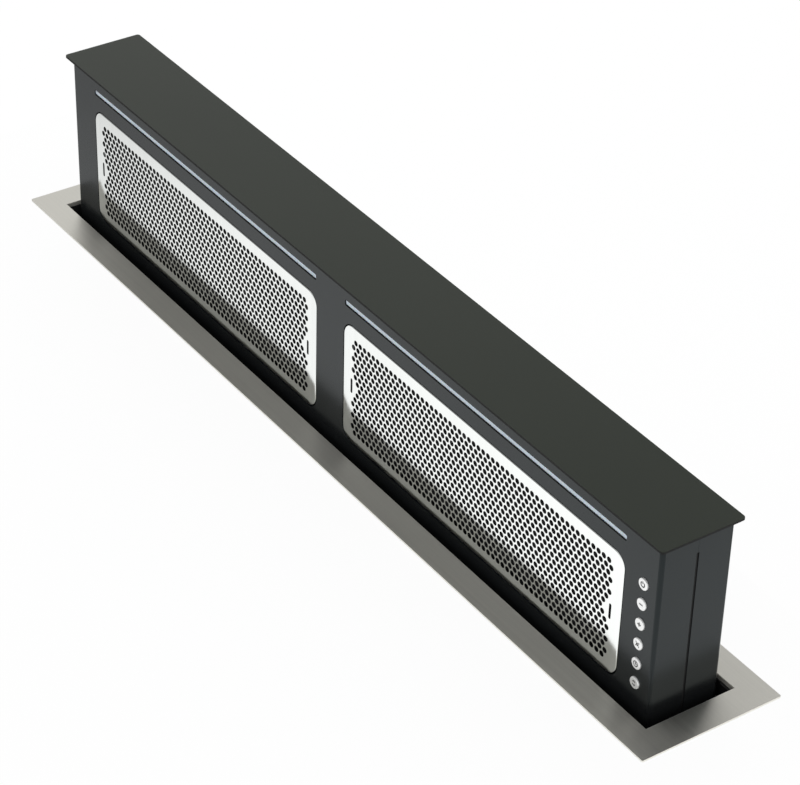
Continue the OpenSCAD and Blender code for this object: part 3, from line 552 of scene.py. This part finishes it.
def makeButtonMark(number, shape):
    m = buttonMarks
    mesh = bmesh.new()
    low, high = boxOf(f"button_{number}")
    middle = (low + high) / 2
    front, back = low.y - m["raised"], low.y + m["sunk"]
    for share, fromAngle, toAngle, thin in shape.get("arcs", ()):
        radius, width = m["reach"] * share, m["line"] * thin
        addArc(mesh, (middle.x, middle.z), radius, fromAngle, toAngle, width, front, back)
    strokes = list(shape.get("strokes", ()))
    if "rays" in shape:
        near, far = shape["rays"]
        for k in range(4):
            angle = math.radians(45 + 90 * k)
            strokes.append([reach * turn(angle) for reach in (near, far) for turn in (math.cos, math.sin)])
    for stroke in strokes:
        x0, z0, x1, z1 = (m["reach"] * share for share in stroke)
        start, end = (middle.x + x0, middle.z + z0), (middle.x + x1, middle.z + z1)
        addStroke(mesh, start, end, m["line"], front, back)
    finishPiece(f"button_mark_{number}", mesh, f"push_{number}", "seal_rubber")


for number, shape in markShapes.items():
    makeButtonMark(number, shape)
print("button marks made")


# cross-head screws that hold the covers and the duct spigot

screwHead = {
    "radius": 3.4, "height": 2.2, "sunk": 0.3, "points": 24, "reach": 1.9, "arm": 0.42, "deep": 1.1,
    "rim": ((1, 0.35), (0.92, 0.7), (0.75, 1)),  # shares of the radius and of the height
    "crossFoot": 0.6,  # the cross at its bottom as a share of the cross at its top
}
coverScrews = {"fromEdge": 24, "skirt": 6}  # from the cover's corners, and from its front face
flangeScrews = {"count": 8, "ringRadius": 79.5, "plate": 1.5}


def crossPoint(k, reach, arm):
    # the k-th of 24 points round the outline of a cross
    quarter, place = divmod(k, 6)
    between = (reach + arm) / 2
    outline = ((reach, 0), (reach, arm), (between, arm), (arm, arm), (arm, between), (arm, reach))
    return Matrix.Rotation(math.radians(90 * quarter), 2) @ Vector(outline[place])


def addScrewHead(mesh, seat, outward):
    # a pan head with a tapered cross in its top
    h = screwHead
    count = h["points"]
    outward = Vector(outward).normalized()
    side = outward.orthogonal().normalized()
    up = outward.cross(side)

    def addRing(points, level):
        places = [Vector(seat) + side * point.x + up * point.y + outward * level for point in points]
        return [addPoint(mesh, *place) for place in places]

    turns = [2 * math.pi * k / count for k in range(count)]
    circle = [Vector((math.cos(angle), math.sin(angle))) for angle in turns]
    rings = [addRing([point * h["radius"] for point in circle], -h["sunk"])]
    for share, level in h["rim"]:
        rings.append(addRing([point * h["radius"] * share for point in circle], h["height"] * level))
    for share, level in ((1, h["height"]), (h["crossFoot"], h["height"] - h["deep"])):
        cross = [crossPoint(k, share * h["reach"], share * h["arm"]) for k in range(count)]
        rings.append(addRing(cross, level))
    for ring, following in zip(rings, rings[1:]):
        joinLoops(mesh, ring, following)
    mesh.faces.new(rings[0][::-1])
    mesh.faces.new(rings[-1])


def makeScrews(name, seats):
    mesh = bmesh.new()
    for seat, outward in seats:
        addScrewHead(mesh, seat, outward)
    finishPiece(name, mesh, "base", "zinc_steel")


def skirtSeats(nodeName, count):
    # places on the folded skirt of a cover: above, below and at its left side
    c = coverScrews
    low, high = boxOf(nodeName)
    y = low.y + c["skirt"]
    seats = []
    for k in range(count):
        x = low.x + c["fromEdge"] + (high.x - low.x - 2 * c["fromEdge"]) * k / (count - 1)
        seats += [((x, y, high.z), (0, 0, 1)), ((x, y, low.z), (0, 0, -1))]
    for z in (low.z + c["fromEdge"], high.z - c["fromEdge"]):
        seats.append(((low.x, y, z), (-1, 0, 0)))
    return seats


def flangeSeats():
    # places round the flange of the spigot
    f = flangeScrews
    low, high = boxOf("outlet_spigot")
    centreY, centreZ = (low.y + high.y) / 2, high.z - (high.y - low.y) / 2
    seats = []
    for k in range(f["count"]):
        angle = 2 * math.pi * (k + 0.5) / f["count"]
        y, z = centreY + f["ringRadius"] * math.cos(angle), centreZ + f["ringRadius"] * math.sin(angle)
        seats.append(((low.x + f["plate"], y, z), (1, 0, 0)))
    return seats


makeScrews("blower_cover_screws", skirtSeats("blower_cover", 4))
makeScrews("control_lid_screws", skirtSeats("control_lid", 3))
makeScrews("spigot_screws", flangeSeats())
print("screws made")


# stage: a pale floor and a section of worktop

groundLook = {
    "dark": (0.95, 0.95, 0.95), "light": (0.97, 0.97, 0.97), "cloudScale": 0.8, "whiteShare": 0.94,
    # how bright the ground is in reflections: steps from and to along X, with the gain at each
    "middleGlow": 0.95, "glowSteps": ((-600, -280, -0.27, 0), (-280, 200, 0, 0.11)),
}
floorSize = {"half": 30000, "z": -620}
# the worktop's top lies a hair below the trim's underside, so that the two never share a plane
worktop = {"x": (-560, 560), "y": (-480, 130), "top": -0.05, "under": -30, "cutX": 423, "cutY": 48}


def raySeen(tree, path):
    # 1 for what is seen directly, in a reflection or through glass
    seen = sumNode(tree, "MAXIMUM", path.outputs["Is Camera Ray"], path.outputs["Is Glossy Ray"])
    return sumNode(tree, "MAXIMUM", seen, path.outputs["Is Transmission Ray"])


def makePaleGround(name, look):
    ground = bpy.data.materials.new(name)
    ground.use_nodes = True
    tree = ground.node_tree
    tree.nodes.clear()
    out = addNode(tree, "ShaderNodeOutputMaterial")
    matt = addNode(tree, "ShaderNodeBsdfDiffuse")
    glow = addNode(tree, "ShaderNodeEmission")
    place = addNode(tree, "ShaderNodeTexCoord").outputs["Object"]
    tone = blendColour(tree, noiseAt(tree, place, look["cloudScale"]), look["dark"], look["light"])
    joinSockets(tree, tone, matt.inputs["Color"])
    path = addNode(tree, "ShaderNodeLightPath")

    # what the steel mirrors of the ground grows dimmer towards the left
    along = addNode(tree, "ShaderNodeSeparateXYZ")
    joinSockets(tree, place, along.inputs[0])
    strength = look["middleGlow"]
    for start, end, startGain, endGain in look["glowSteps"]:
        gain = stretchRange(tree, along.outputs["X"], start * mm, end * mm, startGain, endGain)
        strength = sumNode(tree, "ADD", strength, gain)
    change = sumNode(tree, "SUBTRACT", strength, 1)
    mirrored = sumNode(tree, "MULTIPLY", path.outputs["Is Glossy Ray"], change)
    joinSockets(tree, sumNode(tree, "ADD", mirrored, 1), glow.inputs["Strength"])

    mixed = addNode(tree, "ShaderNodeMixShader")
    joinSockets(tree, sumNode(tree, "MULTIPLY", raySeen(tree, path), look["whiteShare"]), mixed.inputs[0])
    joinSockets(tree, matt.outputs[0], mixed.inputs[1])
    joinSockets(tree, glow.outputs[0], mixed.inputs[2])
    joinSockets(tree, mixed.outputs[0], out.inputs["Surface"])
    return ground


def placeStage(name, mesh):
    data = bpy.data.meshes.new(name)
    bmesh.ops.recalc_face_normals(mesh, faces=mesh.faces)
    mesh.to_mesh(data)
    mesh.free()
    data.materials.append(paleGround)
    obj = bpy.data.objects.new(name, data)
    bpy.context.scene.collection.objects.link(obj)


def makeFloor():
    mesh = bmesh.new()
    h, z = floorSize["half"], floorSize["z"]
    mesh.faces.new([addPoint(mesh, x, y, z) for x, y in ((-h, -h), (h, -h), (h, h), (-h, h))])
    placeStage("floor", mesh)


def makeWorktop():
    # a slab with the cut-out in it
    w = worktop
    (x0, x1), (y0, y1) = w["x"], w["y"]
    outer = ((x0, y0), (x1, y0), (x1, y1), (x0, y1))
    inner = [(sx * w["cutX"], sy * w["cutY"]) for sx, sy in ((-1, -1), (1, -1), (1, 1), (-1, 1))]
    mesh = bmesh.new()
    levels = [[[addPoint(mesh, x, y, z) for x, y in loop] for loop in (outer, inner)]
              for z in (w["top"], w["under"])]
    for outside, inside in levels:
        joinLoops(mesh, outside, inside)
    for above, below in zip(*levels):
        joinLoops(mesh, above, below)
    placeStage("worktop_section", mesh)


paleGround = makePaleGround("pale_ground", groundLook)
makeFloor()
makeWorktop()
print("stage made")


# light

# what is mirrored falls from full white to highShade above, and to darkShade towards darkSide
studio = {"soft": 0.8, "tint": (0.985, 0.992, 1.0), "highFrom": 0.45, "highTo": 0.7, "highShade": 0.5,
          "darkSide": (-0.80, -0.58, 0.10), "darkFrom": 0.59, "darkTo": 0.92, "darkShade": 0.14}
lamps = {  # metres and watts
    "key": {"at": (-2.2, 1.3, 1.9), "to": (-0.25, 0, 0.1), "size": 1.5, "power": 26},
    "fill": {"at": (2.0, -2.4, 1.8), "to": (0.1, 0, 0), "size": 2.4, "power": 10},
}


def studioShade(tree):
    # reflections see a white studio that darkens overhead and in front, as in the photograph
    s = studio
    towards = addNode(tree, "ShaderNodeTexCoord").outputs["Generated"]
    height = addNode(tree, "ShaderNodeSeparateXYZ")
    joinSockets(tree, towards, height.inputs[0])
    facing = addNode(tree, "ShaderNodeVectorMath", operation="DOT_PRODUCT")
    joinSockets(tree, towards, facing.inputs[0])
    facing.inputs[1].default_value = s["darkSide"]
    overhead = stretchRange(tree, height.outputs["Z"], s["highFrom"], s["highTo"], 1, s["highShade"])
    inFront = stretchRange(tree, facing.outputs["Value"], s["darkFrom"], s["darkTo"], 1, s["darkShade"])
    return sumNode(tree, "MULTIPLY", overhead, inFront)


def makeStudio():
    world = bpy.data.worlds.new("studio")
    bpy.context.scene.world = world
    world.use_nodes = True
    tree = world.node_tree
    tree.nodes.clear()
    out = addNode(tree, "ShaderNodeOutputWorld")
    softSky = addNode(tree, "ShaderNodeBackground")
    softSky.inputs["Color"].default_value = (*studio["tint"], 1)
    softSky.inputs["Strength"].default_value = studio["soft"]
    whiteSky = addNode(tree, "ShaderNodeBackground")
    whiteSky.inputs["Color"].default_value = (1, 1, 1, 1)
    path = addNode(tree, "ShaderNodeLightPath")
    lost = sumNode(tree, "SUBTRACT", 1, studioShade(tree))
    lost = sumNode(tree, "MULTIPLY", path.outputs["Is Glossy Ray"], lost)
    joinSockets(tree, sumNode(tree, "SUBTRACT", 1, lost), whiteSky.inputs["Strength"])
    skyMix = addNode(tree, "ShaderNodeMixShader")
    joinSockets(tree, raySeen(tree, path), skyMix.inputs[0])
    joinSockets(tree, softSky.outputs[0], skyMix.inputs[1])
    joinSockets(tree, whiteSky.outputs[0], skyMix.inputs[2])
    joinSockets(tree, skyMix.outputs[0], out.inputs["Surface"])


def makeLamp(name, lamp):
    data = bpy.data.lights.new(name, "AREA")
    data.shape = "SQUARE"
    data.size = lamp["size"]
    data.energy = lamp["power"]
    obj = bpy.data.objects.new(name, data)
    bpy.context.scene.collection.objects.link(obj)
    obj.visible_glossy = False  # no lamp shows as a bright patch in the brushed trim
    obj.location = lamp["at"]
    obj.rotation_mode = "QUATERNION"
    obj.rotation_quaternion = (Vector(lamp["to"]) - Vector(lamp["at"])).to_track_quat("-Z", "Y")


makeStudio()
for lampName, lamp in lamps.items():
    makeLamp(lampName, lamp)
print("lights made")


# camera, at the photograph's viewing angle

shot = {"azimuth": 54.8, "elevation": 34.92, "roll": 1.58, "distance": 2193.5, "target": (51.3, 0, 57),
        "lens": 127.08, "sensor": 36, "clip": (0.05, 100)}  # clip in metres


def makeCamera():
    az, el, roll = (math.radians(shot[key]) for key in ("azimuth", "elevation", "roll"))
    back = Vector((math.sin(az) * math.cos(el), -math.cos(az) * math.cos(el), math.sin(el)))
    right = (-back).cross(Vector((0, 0, 1))).normalized()
    down = (-back).cross(right)
    rolledRight = math.cos(roll) * right - math.sin(roll) * down
    rolledDown = math.sin(roll) * right + math.cos(roll) * down
    lensData = bpy.data.cameras.new("camera")
    lensData.lens = shot["lens"]
    lensData.sensor_width = shot["sensor"]
    lensData.clip_start, lensData.clip_end = shot["clip"]
    camera = bpy.data.objects.new("camera", lensData)
    bpy.context.scene.collection.objects.link(camera)
    turn = Matrix((rolledRight, -rolledDown, back)).transposed().to_4x4()
    camera.matrix_world = Matrix.Translation((Vector(shot["target"]) + back * shot["distance"]) * mm) @ turn
    bpy.context.scene.camera = camera


makeCamera()
bpy.context.scene.view_settings.view_transform = "Standard"
print("camera set")
